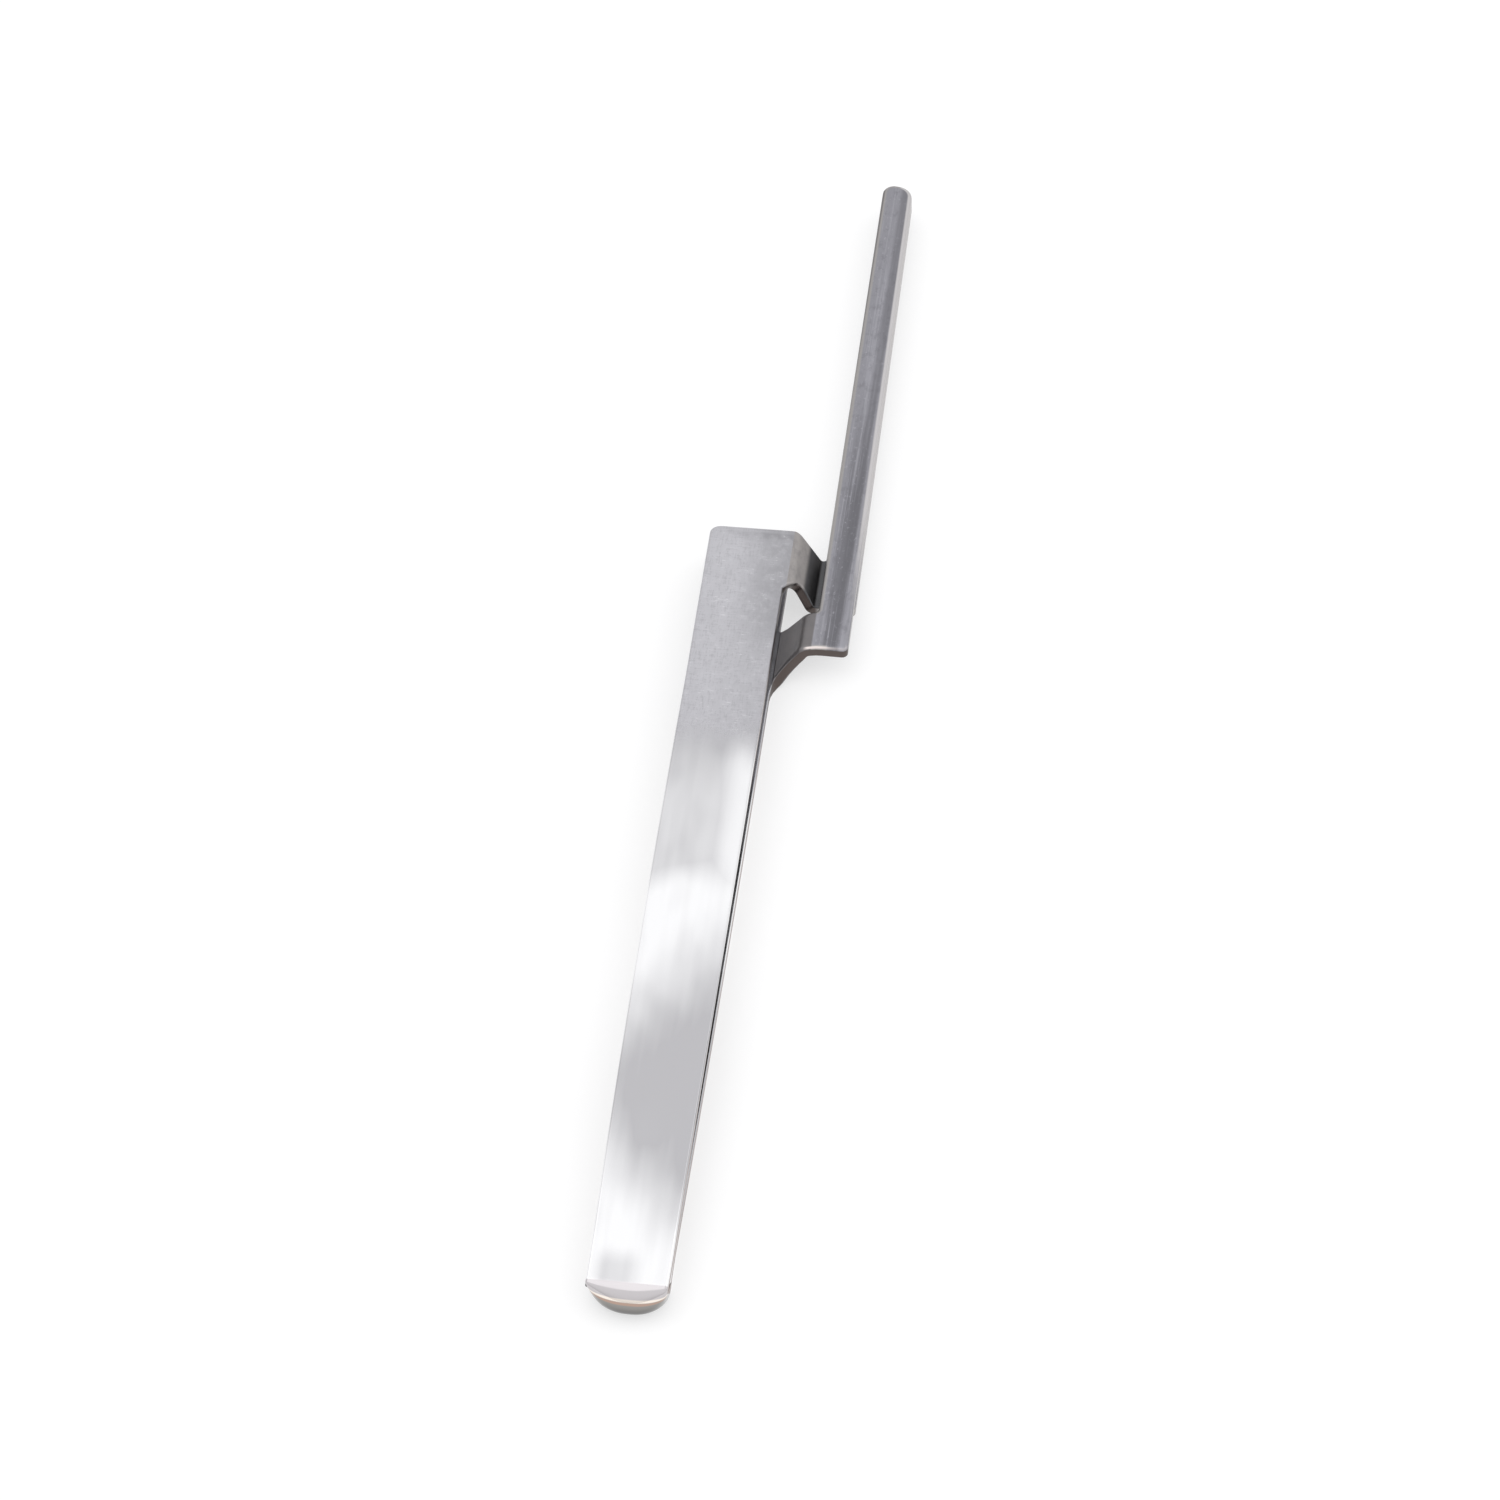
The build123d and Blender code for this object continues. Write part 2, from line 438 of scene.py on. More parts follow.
def edge_easing(scene, layout, point, outward, is_upper):
    """Inward and downward easing at an outline point, for the flat plate's upper and lower face."""
    edges = scene.forceps_edges
    on_jaw = smooth_share(point.x, RIGHT_EDGE, RIGHT_EDGE + layout.bend_reach + layout.slope_run)
    nose = smooth_share(point.y, FRONT_END - 3 * MM, FRONT_END - MM) * max(0, outward.y) ** 2
    nose *= 1 - smooth_share(point.x, RIGHT_EDGE - MM, RIGHT_EDGE + 0.5 * MM)
    handle_in = edges.handle + (edges.nose_in - edges.handle) * nose
    handle_down = edges.handle + (edges.nose_down - edges.handle) * nose
    # Outside is the flat plate's lower face on both handles. Only the upper arm shows its nose
    outer = (handle_in, handle_down) if is_upper else (edges.handle, edges.handle)
    plain = (edges.inner, edges.inner)
    jaw = (edges.jaw_in, edges.jaw_down)
    upper = [a + (b - a) * on_jaw for a, b in zip(plain, jaw)]
    lower = [a + (b - a) * on_jaw for a, b in zip(outer, plain)]
    return upper, lower


def inward_normals(points):
    """Inward direction at each point of an open outline, level at both ends."""
    area = 0.0
    for a, b in zip(points, points[1:] + points[:1]):
        area += a.x * b.y - b.x * a.y
    way = 1 if area > 0 else -1
    normals = []
    last = len(points) - 1
    for i, here in enumerate(points):
        before = here - points[max(0, i - 1)]
        after = points[min(last, i + 1)] - here
        sides = [Vector((-d.y, d.x)).normalized() * way for d in (before, after) if d.length > 0]
        if i in (0, last):
            normals.append(Vector((math.copysign(1, sides[0].x), 0)))
            continue
        mitre = (sides[0] + sides[1]).normalized()
        normals.append(mitre / max(SHARPEST_MITRE, mitre.dot(sides[0])))
    return normals


def edge_rows(middle, easing_up, easing_down, steps, support):
    """(inset, height, edge share) down a cut edge, from the lower face to the upper face."""
    rows = []
    for (inset, drop), way in ((easing_down, -1), (easing_up, 1)):
        part = []
        for i in range(steps + 1):
            angle = i / steps * math.pi / 2
            height = way * (middle - drop * (1 - math.sin(angle)))
            part.append((inset * (1 - math.cos(angle)), height, 1 - i / steps))
        part.append((inset + support, way * middle, 0.0))
        rows += part if way > 0 else part[::-1]
    return rows


def cut_across(bm, axis, place, **clear):
    """Cut the plate at a place along an axis, and clear one side if asked to."""
    direction = Vector(axis)
    return bmesh.ops.bisect_plane(
        bm,
        geom=bm.verts[:] + bm.edges[:] + bm.faces[:],
        dist=CUT_TOLERANCE,
        plane_co=direction * place,
        plane_no=direction,
        **clear,
    )


def build_blank(scene, layout, points, flat, easing_of, cuts_x, cuts_y):
    """A flat closed plate with eased edges. points is its plan, and flat lays each point down."""
    edges = scene.forceps_edges
    plan = [Vector(flat(p)) for p in points]
    inward = inward_normals(plan)
    outward = [-n for n in inward_normals(points)]
    bm = bmesh.new()
    band = bm.verts.layers.float.new("edge_band")
    rings = []
    for place, way, corner, out in zip(plan, inward, points, outward):
        easing_up, easing_down = easing_of(corner, out)
        ring = []
        for inset, height, share in edge_rows(
            layout.middle, easing_up, easing_down, edges.steps, SUPPORT
        ):
            vert = bm.verts.new((*(place + way * inset), layout.middle + height))
            vert[band] = share
            ring.append(vert)
        rings.append(ring)
    for near, far in zip(rings, rings[1:]):
        for a, b, c, d in zip(near, near[1:], far[1:], far):
            bm.faces.new((a, b, c, d))
    bm.faces.new([ring[0] for ring in rings])
    bm.faces.new([ring[-1] for ring in rings])
    bm.faces.new(rings[0] + rings[-1][::-1])
    for axis, places in ((ALONG_X, cuts_x), (ALONG_Y, cuts_y)):
        for place in places:
            cut_across(bm, axis, place)
    return bm


def keep_side(bm, place, side):
    """Cut the plate at an X place, keep one side of it, and close the cut."""
    cut = cut_across(bm, ALONG_X, place, clear_outer=side < 0, clear_inner=side > 0)
    rim = [e for e in cut["geom_cut"] if isinstance(e, bmesh.types.BMEdge) and e.is_boundary]
    bmesh.ops.edgeloop_fill(bm, edges=rim)


def finish_mesh(bm, name):
    """Write a closed bmesh to a new object's mesh with its faces outwards."""
    bmesh.ops.remove_doubles(bm, verts=bm.verts[:], dist=WELD_DISTANCE)
    bmesh.ops.recalc_face_normals(bm, faces=bm.faces[:])
    mesh = bpy.data.meshes.new(name)
    bm.to_mesh(mesh)
    bm.free()
    piece = bpy.data.objects.new(name, mesh)
    bpy.context.scene.collection.objects.link(piece)
    return piece


def shade_by_angle(mesh):
    """Smooth faces, with hard edges where two faces meet at more than the hard angle."""
    bm = bmesh.new()
    bm.from_mesh(mesh)
    bmesh.ops.recalc_face_normals(bm, faces=bm.faces[:])
    for face in bm.faces:
        face.smooth = True
    for edge in bm.edges:
        edge.smooth = edge.is_manifold and edge.calc_face_angle(0) < HARD_ANGLE
    bm.to_mesh(mesh)
    bm.free()


# The press: a node tree that bends the flat plate -------------------------------------------


PRESS_INPUTS = (
    ("Tab Line", "Where the tabs' first bend begins"),
    ("Tab Bend Radius", "Middle radius of the tabs' bends"),
    ("Tab Bend Angle", "Angle of the tabs' bends"),
    ("Slope Length", "Straight strip between the tabs' bends"),
    ("Fold Line", "Where the rear fold begins"),
    ("Fold Radius", "Middle radius of the rear fold"),
    ("Fold Angle", "Angle of the rear fold"),
    ("Bow Radius", "Middle radius of the upper arm's bow"),
    ("Bow Angle", "Angle of the bow"),
    ("Easing Radius", "Middle radius that levels the nose"),
    ("Easing Angle", "Angle of the easing"),
    ("Strip Height", "Height of the flat strip's middle"),
)


class Nodes:
    """Lays down the nodes of a tree and joins them up."""

    def link(self, value, socket):
        """Join an output to a socket, or set a plain value on it."""
        if isinstance(value, bpy.types.NodeSocket):
            self.tree.links.new(value, socket)
        else:
            socket.default_value = value

    def node(self, kind, inputs, output=0, **settings):
        """One output of a new node. Its inputs are given by name or number."""
        node = self.tree.nodes.new(kind)
        for name, value in settings.items():
            setattr(node, name, value)
        for key, value in inputs.items():
            self.link(value, node.inputs[key])
        return node.outputs[output]

    def maths(self, operation, a, b, clamp=False):
        """One Math node's result."""
        return self.node("ShaderNodeMath", {0: a, 1: b}, operation=operation, use_clamp=clamp)

    def times(self, a, b):
        """a times b."""
        return self.maths("MULTIPLY", a, b)

    def plus(self, a, b):
        """a plus b."""
        return self.maths("ADD", a, b)

    def minus(self, a, b, clamp=False):
        """a less b."""
        return self.maths("SUBTRACT", a, b, clamp)

    def axis(self, name, vector):
        """One coordinate of a vector."""
        return self.node("ShaderNodeSeparateXYZ", {0: vector}, name)


class PressTree(Nodes):
    """Builds the node tree that gives the flat plate its bends, farthest bend first."""

    def __init__(self, name):
        self.tree = bpy.data.node_groups.new(name, "GeometryNodeTree")
        face = self.tree.interface
        face.new_socket("Geometry", in_out="INPUT", socket_type="NodeSocketGeometry")
        for label, description in PRESS_INPUTS:
            socket = face.new_socket(label, in_out="INPUT", socket_type="NodeSocketFloat")
            socket.description = description
        face.new_socket("Steel", in_out="INPUT", socket_type="NodeSocketMaterial")
        face.new_socket("Geometry", in_out="OUTPUT", socket_type="NodeSocketGeometry")
        self.given = self.tree.nodes.new("NodeGroupInput").outputs
        self.build()

    def combine(self, x, y, z):
        """A vector from three values."""
        return self.node("ShaderNodeCombineXYZ", {"X": x, "Y": y, "Z": z})

    def bend(self, place, name, along, start, axis, turn):
        """Bend a field of places about a line.

        name says which radius and angle to take, along is how far each point lies past the
        line, start is the line's coordinate, axis is the coordinate that the strip runs along
        ("X" or "Y"), and turn is 1 where the strip curls up and -1 where it curls down.
        """
        radius = self.given[f"{name} Radius"]
        angle = self.given[f"{name} Angle"]
        length = self.times(radius, angle)
        share = self.maths("DIVIDE", along, length, clamp=True)
        slide = self.times(share, length)
        height = self.plus(self.given["Strip Height"], self.times(radius, turn))
        swing = self.times(share, self.times(angle, -turn))
        if axis == "X":
            back = self.combine(self.times(slide, -1), 0, 0)
            centre = self.combine(start, 0, height)
        else:
            back = self.combine(0, slide, 0)
            centre = self.combine(0, start, height)
        moved = self.node("ShaderNodeVectorMath", {0: place, 1: back}, operation="ADD")
        return self.node(
            "ShaderNodeVectorRotate",
            {"Vector": moved, "Center": centre, "Angle": swing},
            rotation_type="Y_AXIS" if axis == "X" else "X_AXIS",
        )

    def build(self):
        """Lay out the bends: tab outer bend, tab inner bend, easing, bow and rear fold."""
        given = self.given
        position = self.node("GeometryNodeInputPosition", {})
        flat_x = self.axis("X", position)
        flat_y = self.axis("Y", position)
        inner_line = given["Tab Line"]
        bend_length = self.times(given["Tab Bend Radius"], given["Tab Bend Angle"])
        outer_line = self.plus(inner_line, self.plus(bend_length, given["Slope Length"]))
        fold_line = given["Fold Line"]
        fold_length = self.times(given["Fold Radius"], given["Fold Angle"])
        bow_line = self.minus(fold_line, fold_length)
        bow_length = self.times(given["Bow Radius"], given["Bow Angle"])
        easing_line = self.minus(bow_line, bow_length)

        place = position
        for line, turn in ((outer_line, -1), (inner_line, 1)):
            place = self.bend(place, "Tab Bend", self.minus(flat_x, line), line, "X", turn)
        for name, line, turn in (
            ("Easing", easing_line, -1),
            ("Bow", bow_line, 1),
            ("Fold", fold_line, 1),
        ):
            place = self.bend(place, name, self.minus(line, flat_y), line, "Y", turn)

        kept = self.node(
            "GeometryNodeStoreNamedAttribute",
            {"Geometry": given["Geometry"], "Name": "flat_place", "Value": position},
            data_type="FLOAT_VECTOR",
            domain="POINT",
        )
        formed = self.node("GeometryNodeSetPosition", {"Geometry": kept, "Position": place})
        real = self.node("GeometryNodeRealizeInstances", {"Geometry": formed})
        steel_set = self.node(
            "GeometryNodeSetMaterial", {"Geometry": real, "Material": given["Steel"]}
        )
        out = self.tree.nodes.new("NodeGroupOutput")
        self.link(steel_set, out.inputs["Geometry"])


def press(scene, layout, piece, material):
    """Bend a flat plate with the press tree and leave a plain mesh, or raise an error."""
    strip = scene.forceps_strip
    tabs = scene.forceps_tabs
    tree = bpy.data.node_groups.get("Strip Press") or PressTree("Strip Press").tree
    values = {
        "Tab Line": RIGHT_EDGE,
        "Tab Bend Radius": tabs.bend_radius,
        "Tab Bend Angle": tabs.bend_angle,
        "Slope Length": layout.slope_length,
        "Fold Line": layout.fold_line,
        "Fold Radius": layout.fold_radius,
        "Fold Angle": layout.fold_angle,
        "Bow Radius": layout.bow_radius,
        "Bow Angle": layout.bow_angle,
        "Easing Radius": strip.easing_radius,
        "Easing Angle": strip.bow_fall,
        "Strip Height": layout.middle,
        "Steel": material,
    }
    modifier = piece.modifiers.new("Strip Press", "NODES")
    modifier.node_group = tree
    for item in tree.interface.items_tree:
        if item.in_out == "INPUT" and item.name in values:
            modifier[item.identifier] = values[item.name]
    bpy.context.view_layer.update()
    graph = bpy.context.evaluated_depsgraph_get()
    formed = bpy.data.meshes.new_from_object(piece.evaluated_get(graph))
    if not formed.polygons:
        raise RuntimeError(f"{piece.name} came out of the press without faces")
    flat = piece.data
    piece.modifiers.clear()
    piece.data = formed
    bpy.data.meshes.remove(flat)
    formed.name = piece.name
    shade_by_angle(formed)


# Finishes -----------------------------------------------------------------------------------


# Painted reflections on the handle, as soft patches of light and a darker spot, in millimetres
# along the strip or across it from its middle: where each begins, is full, starts to fade and ends
SIDE_REFLECTION = (-33, -22, -10, -1)
FAINT_REFLECTION = (-42, -30, -14, -2)
FRONT_REFLECTION_REAR = (-46, -28)
FRONT_REFLECTION_FRONT = (-26, -17)
REAR_REFLECTION = (-69, -53)
DARK_SPOT_ALONG = (-75.0, -73.2, -71.6, -68.8)
DARK_SPOT_ACROSS = (-3.8, -2.2, -0.6, 1.9)
WOBBLE = 9.0

# Heights of the painted shade, highlight and reflection bands round the rear fold, in millimetres
FOLD_SHADE = (1.0, 2.4)
FOLD_WARM_BAND = (2.3, 2.42, 2.6, 2.72)
FOLD_HIGHLIGHT_START = (2.62, 2.74)
FOLD_REFLECTION_START = (2.9, 3.02)

# Places across the jaws, in millimetres: the darker middle, the groove and the change of sides
JAW_CENTRE = (4.7, 5.4, 6.6, 6.9)
JAW_GROOVE = (5.6, 6.1, 6.5, 6.9)
JAW_SIDES = (5.4, 5.8)

# How much of the cut edge counts as wall, and as easing
WALL_SHARE = (0.82, 0.98)
HANDLE_WALL_SHARE = (0.8, 0.98)
EASED_SHARE = (0.02, 0.25)


def tone(colour, factor):
    """A colour made lighter or darker."""
    return tuple(factor * c for c in colour)


class Paint(Nodes):
    """Lays down the shader nodes of one material."""

    def __init__(self, name):
        self.material = bpy.data.materials.new(name)
        self.material.use_nodes = True
        self.tree = self.material.node_tree
        self.tree.nodes.clear()
        self.shader = self.tree.nodes.new("ShaderNodeBsdfPrincipled")
        out = self.tree.nodes.new("ShaderNodeOutputMaterial")
        self.link(self.shader.outputs[0], out.inputs["Surface"])
        self.place = self.millimetres(self.node("ShaderNodeTexCoord", {}, "Object"))

    def finish(self, **values):
        """Give the shader's sockets their values or links."""
        for name, value in values.items():
            self.link(value, self.shader.inputs[name.replace("_", " ").title()])
        return self.material

    def millimetres(self, vector):
        """A vector in metres turned into millimetres."""
        return self.node("ShaderNodeVectorMath", {0: vector, "Scale": 1 / MM}, operation="SCALE")

    def attribute(self, name, output="Fac"):
        """A value stored on the mesh."""
        return self.node("ShaderNodeAttribute", {}, output, attribute_name=name)

    def flat_vector(self):
        """The place in millimetres on the flat strip, before it was bent."""
        return self.millimetres(self.attribute("flat_place", "Vector"))

    def noise(self, scale, detail=2.0, roughness=0.5, turn=0.0, offset=(0, 0, 0)):
        """A noise value, with a scale per axis in features a millimetre."""
        place = self.node(
            "ShaderNodeMapping",
            {"Vector": self.place, "Location": offset, "Rotation": (0, 0, turn), "Scale": scale},
        )
        return self.node(
            "ShaderNodeTexNoise",
            {"Vector": place, "Scale": 1.0, "Detail": detail, "Roughness": roughness},
        )

    def ramp(self, value, low, high, to_low=0.0, to_high=1.0):
        """A smooth step of a value from one range to another."""
        return self.node(
            "ShaderNodeMapRange",
            dict(enumerate((value, low, high, to_low, to_high))),
            interpolation_type="SMOOTHSTEP",
        )

    def band(self, value, start, full, fading, end):
        """0 before start, 1 between full and fading, and 0 after end."""
        up = self.ramp(value, start, full)
        return self.times(up, self.ramp(value, fading, end, 1.0, 0.0))

    def most(self, first, *others):
        """The greatest of some values."""
        for value in others:
            first = self.maths("MAXIMUM", first, value)
        return first

    def mix(self, share, a, b):
        """A mix of two colours."""
        a, b = (c if isinstance(c, bpy.types.NodeSocket) else (*c, 1) for c in (a, b))
        return self.node(
            "ShaderNodeMix", {"Factor": share, "A": a, "B": b}, "Result", data_type="RGBA"
        )

    def bump(self, height, strength, distance, **under):
        """A bump of a height, over another normal if one is given as Normal."""
        inputs = {"Strength": strength, "Distance": distance, "Height": height, **under}
        return self.node("ShaderNodeBump", inputs)


def polish(paint, colours, across, y, wobble, bloom):
    """The mirror part of the handle: painted reflections as soft patches of light on a grey bloom.
    """
    slid = paint.plus(y, wobble)

    def leaning(lean):
        return paint.plus(paint.minus(y, paint.times(across, lean)), wobble)

    # Painted reflections: soft patches of light at the front, the side and the rear, and a faint one
    front_reflection = paint.times(
        paint.ramp(leaning(1.2), *FRONT_REFLECTION_REAR),
        paint.ramp(slid, *FRONT_REFLECTION_FRONT, 1.0, 0.0),
    )
    to_right = paint.ramp(across, -0.6, 3.6, 0.0, 0.9)
    side_reflection = paint.times(paint.band(slid, *SIDE_REFLECTION), to_right)
    faint_reflection = paint.times(paint.band(slid, *FAINT_REFLECTION), 0.46)
    rear_reflection = paint.ramp(leaning(-1.1), *REAR_REFLECTION, 1.0, 0.0)
    # Painted reflection: a darker spot near the rear fold
    dark_reflection_spot = paint.times(paint.band(y, *DARK_SPOT_ALONG), paint.band(across, *DARK_SPOT_ACROSS))
    drawn = paint.noise((1.1, 0.05, 1.0), detail=1)
    share = paint.most(front_reflection, side_reflection, faint_reflection, rear_reflection)
    share = paint.minus(share, paint.times(dark_reflection_spot, 0.45))
    share = paint.minus(share, paint.ramp(bloom, 0.4, 0.8, 0.0, 0.2))
    share = paint.minus(share, paint.ramp(drawn, 0.3, 0.7, -0.03, 0.03), clamp=True)
    return paint.mix(share, colours.haze, colours.polished)


def satin_nose(paint, colours, across, y, grain, cross):
    """The nose: mottled, finely scratched, with painted shade to the right and along the front edge.
    """
    light = tuple(colours.satin)
    mottle = paint.noise((0.9, 0.7, 0.7), detail=6, roughness=0.7)
    # Painted shade: darker to the right towards the crease, more so towards the front
    side_shade = paint.times(
        paint.ramp(across, -1.5, 3.8), paint.ramp(y, 4.0, 15.0, 0.25, 1.0)
    )
    nose = paint.mix(side_shade, light, tone(light, 0.7))
    front = FRONT_END / MM
    # Painted shade: a dark line just behind the front edge, stronger to the right
    front_shade_line = paint.band(y, front - 2.2, front - 1.1, front - 0.9, front - 0.5)
    front_shade_line = paint.times(front_shade_line, paint.ramp(across, -4.0, 3.0, 0.1, 0.55))
    nose = paint.mix(front_shade_line, nose, tone(light, 0.5))
    nose = paint.mix(paint.ramp(mottle, 0.4, 0.65, 0.0, 0.25), nose, tone(light, 1.2))
    nose = paint.mix(paint.ramp(grain, 0.4, 0.5, 0.5, 0.0), nose, tone(light, 0.7))
    # Scratch marks painted in the bright reflection colour, as glints
    marks = paint.times(paint.ramp(cross, 0.6, 0.68), paint.ramp(mottle, 0.5, 0.6))
    return paint.mix(paint.times(marks, 0.5), nose, colours.polished)


def fold_turn(paint, colours, z, flat):
    """The rear fold: painted grey reflection, thin highlight line, warm line and darker shade below.
    """
    turn = colours.fold_low
    for share, colour in (
        (paint.ramp(z, *FOLD_SHADE), colours.fold_mid),
        (paint.band(z, *FOLD_WARM_BAND), colours.fold_warm),
        (paint.ramp(z, *FOLD_HIGHLIGHT_START), colours.fold_line),
        (paint.ramp(z, *FOLD_REFLECTION_START), colours.fold_high),
    ):
        turn = paint.mix(share, turn, colour)
    # Painted shade on the inside of the fold
    inside = paint.ramp(paint.axis("Z", flat), 0.4, 0.8)
    return paint.mix(inside, turn, colours.fold_low)


def handle_steel(scene):
    """Strip with a mirror polish: painted reflections behind, satin towards the nose, fine
    scratches.
    """
    paint = Paint("handle_finish")
    colours = scene.forceps_colours
    layout = Layout(scene)
    x, y, z = (paint.axis(name, paint.place) for name in "XYZ")
    across = paint.minus(x, HANDLE_MIDDLE / MM)
    drift = paint.noise((0.16, 0.07, 0.1))
    wobble = paint.times(paint.minus(drift, 0.5), WOBBLE)
    bloom = paint.noise((0.3, 0.12, 0.2), detail=1, offset=(3, 1, 0))
    fine = paint.noise((7.0, 1.1, 2.0), detail=4, roughness=0.7, turn=0.35)
    cross = paint.noise((1.2, 8.0, 2.0), detail=4, roughness=0.7, turn=0.2)
    grain = paint.plus(paint.times(fine, 0.5), paint.times(cross, 0.5))

    polished = polish(paint, colours, across, y, wobble, bloom)
    nose = satin_nose(paint, colours, across, y, grain, cross)
    satin = paint.ramp(paint.plus(y, paint.times(wobble, 0.6)), -8.0, -1.0)
    face = paint.mix(satin, polished, nose)
    flat = paint.flat_vector()
    fold_line = layout.fold_line / MM
    fold_top = fold_line - layout.fold_length / MM
    on_fold = paint.band(
        paint.axis("Y", flat), fold_top - 0.15, fold_top, fold_line, fold_line + 0.1
    )
    face = paint.mix(on_fold, face, fold_turn(paint, colours, z, flat))
    wall = paint.ramp(paint.attribute("edge_band"), *HANDLE_WALL_SHARE)
    # Painted shade: the handle's cut walls darker towards the nose
    wall_tone = paint.mix(paint.ramp(y, -4.0, 6.0), colours.handle_wall, colours.cut_edge)

    satin_rough = paint.times(satin, paint.ramp(grain, 0.35, 0.65, 0.36, 0.28))
    gloss = paint.ramp(bloom, 0.4, 0.75, 0.1, 0.2)
    rough = paint.plus(satin_rough, paint.times(paint.minus(1.0, satin), gloss))
    waves = paint.noise((0.09, 0.045, 0.045), detail=1)
    waved = paint.bump(waves, 0.35, 0.0004)
    return paint.finish(
        base_color=paint.mix(wall, face, wall_tone),
        metallic=1.0,
        roughness=paint.most(rough, paint.times(wall, 0.42)),
        normal=paint.bump(paint.times(grain, satin), 0.3, 0.00002, Normal=waved),
    )


def jaw_face(paint, colours, x, y, streak, mottle):
    """The jaws' faces: drawn lengthwise, darker in the middle, paler at the tips, specked."""
    dark = tuple(colours.brushed)
    tip = paint.ramp(paint.plus(y, paint.times(mottle, 16.0)), 38.0, 56.0)
    centre_band = paint.band(x, *JAW_CENTRE)
    rear_tone = paint.mix(centre_band, tone(dark, 1.45), dark)
    face = paint.mix(tip, rear_tone, tone(dark, 1.5))
    specks = paint.noise((3.2, 2.2, 3.2), detail=3, roughness=0.7)
    for share, factor in (
        (paint.ramp(streak, 0.45, 0.6, 0.0, 0.75), 1.9),
        (paint.ramp(mottle, 0.48, 0.68, 0.0, 0.3), 0.7),
        (paint.ramp(specks, 0.58, 0.7, 0.0, 0.6), 2.1),
        (paint.times(paint.band(x, *JAW_GROOVE), 0.5), 0.7),
    ):
        face = paint.mix(share, face, tone(dark, factor))
    return face


def tab_face(paint, colours, mottle, on_upper):
    """The tabs' faces: the upper one painted light and then painted shade, the lower one dull."""
    past_edge = paint.minus(paint.axis("X", paint.flat_vector()), RIGHT_EDGE / MM)
    # Painted light on the upper tab's first part, then painted shade further out
    upper_tab = paint.mix(paint.ramp(past_edge, 1.7, 2.3), colours.tab_light, colours.tab_dark)
    tab = paint.mix(on_upper, colours.tab_dull, upper_tab)
    return paint.mix(paint.ramp(mottle, 0.4, 0.7, 0.0, 0.3), tab, tone(colours.brushed, 0.7))


def jaw_steel(scene):
    """Brushed strip: darker, drawn lengthwise, painted highlights on the eased edges, dark tabs."""
    paint = Paint("jaw_finish")
    colours = scene.forceps_colours
    x, y = (paint.axis(name, paint.place) for name in "XY")
    heel = UPPER_JAW_LOW.y / MM
    streak_fine = paint.noise((4.2, 0.09, 4.2), detail=4, roughness=0.65)
    streak_wide = paint.noise((0.95, 0.05, 0.95), detail=3)
    mottle = paint.noise((1.3, 0.7, 1.3), detail=5, roughness=0.65)
    streak = paint.plus(paint.times(streak_fine, 0.55), paint.times(streak_wide, 0.45))
    face = jaw_face(paint, colours, x, y, streak, mottle)

    band = paint.attribute("edge_band")
    eased = paint.ramp(band, *EASED_SHARE)
    to_right = paint.ramp(x, *JAW_SIDES)
    # Painted light on the eased edges: dim on the left, a highlight on the right that grows forward
    edge = paint.mix(to_right, colours.jaw_left_edge, colours.jaw_right_edge)
    right_highlight_strip = paint.ramp(y, 14.0, 31.0, 0.05, 0.9)
    edge_share = paint.most(right_highlight_strip, paint.ramp(x, *JAW_SIDES, 0.9, 0.0))
    face = paint.mix(paint.times(eased, edge_share), face, edge)

    rear = REAR_END / MM
    flat_y = paint.axis("Y", paint.flat_vector())
    on_upper = paint.ramp(flat_y, rear - 1.0, rear, 1.0, 0.0)
    on_lower_jaw = paint.times(on_upper, paint.ramp(x, 4.3, 4.6, 1.0, 0.0))
    on_tab = paint.most(paint.ramp(x, 4.0, 4.2, 1.0, 0.0), on_lower_jaw)
    face = paint.mix(on_tab, face, tab_face(paint, colours, mottle, on_upper))
    at_heel = paint.ramp(y, heel + 0.7, heel + 1.1, 1.0, 0.0)
    # Painted highlight: a bright line on the eased edge along the heel, fading to the right
    heel_highlight = at_heel
    for share in (
        paint.ramp(x, 3.2, 3.8),
        paint.ramp(x, 4.4, 6.8, 1.0, 0.2),
        paint.band(band, 0.25, 0.4, 0.6, 0.8),
    ):
        heel_highlight = paint.times(heel_highlight, share)
    face = paint.mix(heel_highlight, face, colours.jaw_line)

    # Painted shade: the jaws' cut walls darker at the tabs and at the heel
    wall_shade = paint.most(paint.ramp(x, 3.6, 4.2, 1.0, 0.0), at_heel)
    wall_tone = paint.mix(wall_shade, colours.jaw_wall, colours.cut_edge)
    drawn = paint.bump(streak_fine, 0.35, 0.00002)
    return paint.finish(
        base_color=paint.mix(paint.ramp(band, *WALL_SHARE), face, wall_tone),
        metallic=1.0,
        roughness=paint.ramp(streak, 0.35, 0.7, 0.3, 0.42),
        normal=paint.bump(mottle, 0.25, 0.00004, Normal=drawn),
    )


FINISHES = {
    "polished_steel": ("handle_finish", handle_steel),
    "brushed_steel": ("jaw_finish", jaw_steel),
}


def steel(scene, slot):
    """The finish of a slot, made once."""
    name, make = FINISHES[slot]
    return bpy.data.materials.get(name) or make(scene)


# Pieces -------------------------------------------------------------------------------------


BEND_PARTS = 9
SPLIT_HAIR = 0.02 * MM
OUTLINE_SPACING = 0.3 * MM
BOW_SPACING = 2.5 * MM
FLAT_SPACING = 8 * MM
UNCUT_FRONT = 20 * MM
FOLD_SECTIONS = 64
FOLD_COLUMNS = 40


